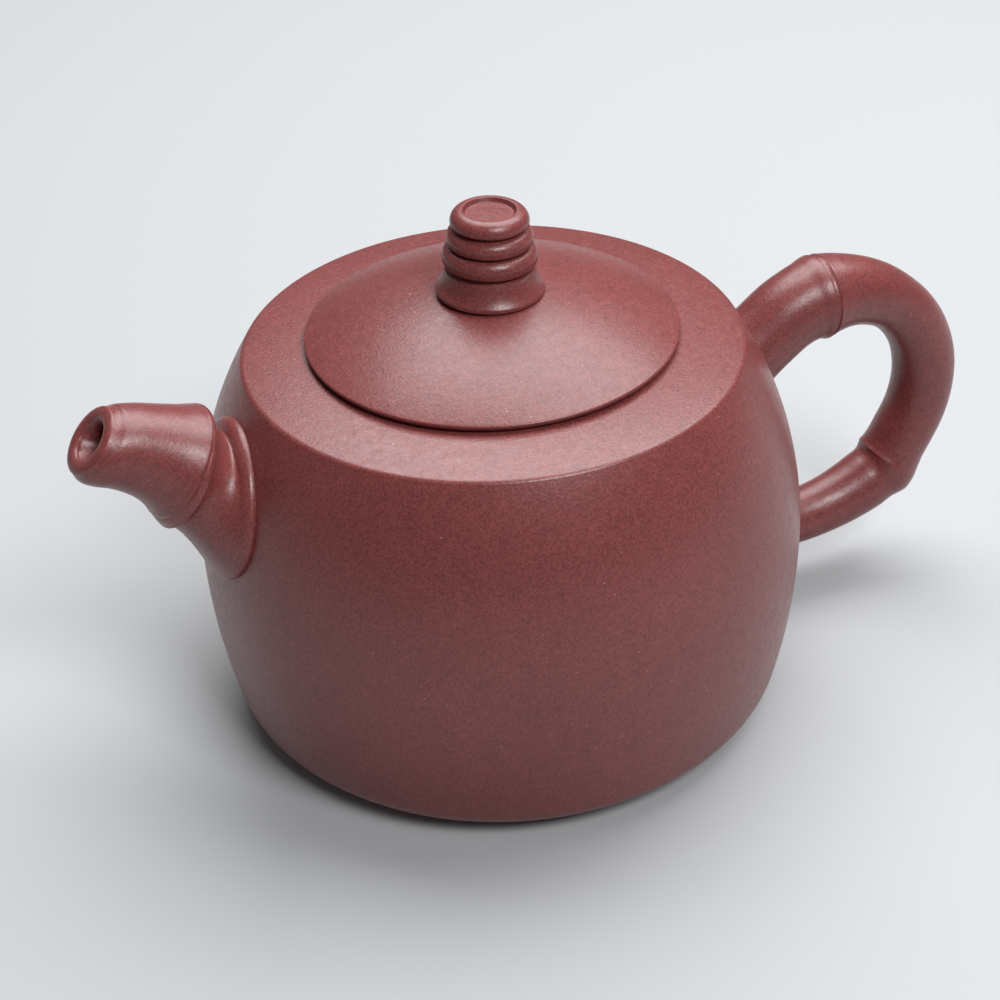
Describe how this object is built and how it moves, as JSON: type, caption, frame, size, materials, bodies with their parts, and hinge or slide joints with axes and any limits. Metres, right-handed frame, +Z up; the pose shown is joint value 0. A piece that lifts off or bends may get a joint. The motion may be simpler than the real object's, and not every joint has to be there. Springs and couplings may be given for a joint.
{
  "type": "yixing clay teapot",
  "caption": "Small unglazed purple-brown clay teapot: bellied round body, lift-off domed lid with tiered knob, bamboo-jointed spout and looped handle.",
  "frame": {"origin": "centre of the foot ring's rest plane, on the body's axis", "axes": "+Z up along the body's axis and the lid's lift; the spout points along -X, the handle along +X"},
  "size_m": [0.148, 0.094, 0.0828],
  "materials": {
    "zisha_body": "burnished unglazed purple-brown clay, satin, fine grain",
    "zisha_bamboo": "burnished unglazed purple-brown clay, a little glossier where it is handled",
    "zisha_lid": "burnished unglazed purple-brown clay, satin",
    "zisha_raw": "unburnished clay, matte and slightly rough"
  },
  "bodies": {
    "pot": {"body_wall": "zisha_body", "shoulder_disc": "zisha_body", "base_disc": "zisha_raw", "foot_ring": "zisha_raw", "mouth_collar": "zisha_raw", "spout_root": "zisha_bamboo", "spout_nozzle": "zisha_bamboo", "ball_strainer": "zisha_raw", "handle_root": "zisha_bamboo", "handle_bow": "zisha_bamboo", "handle_tail": "zisha_bamboo"},
    "lid": {"lid_plate": "zisha_lid", "lid_flange": "zisha_raw", "knob": "zisha_lid"}
  },
  "joints": [
    {"name": "lid_lift", "type": "slide", "parent": "pot", "child": "lid", "axis": [0, 0, 1], "range_m": [0, 0.06]}
  ]
}
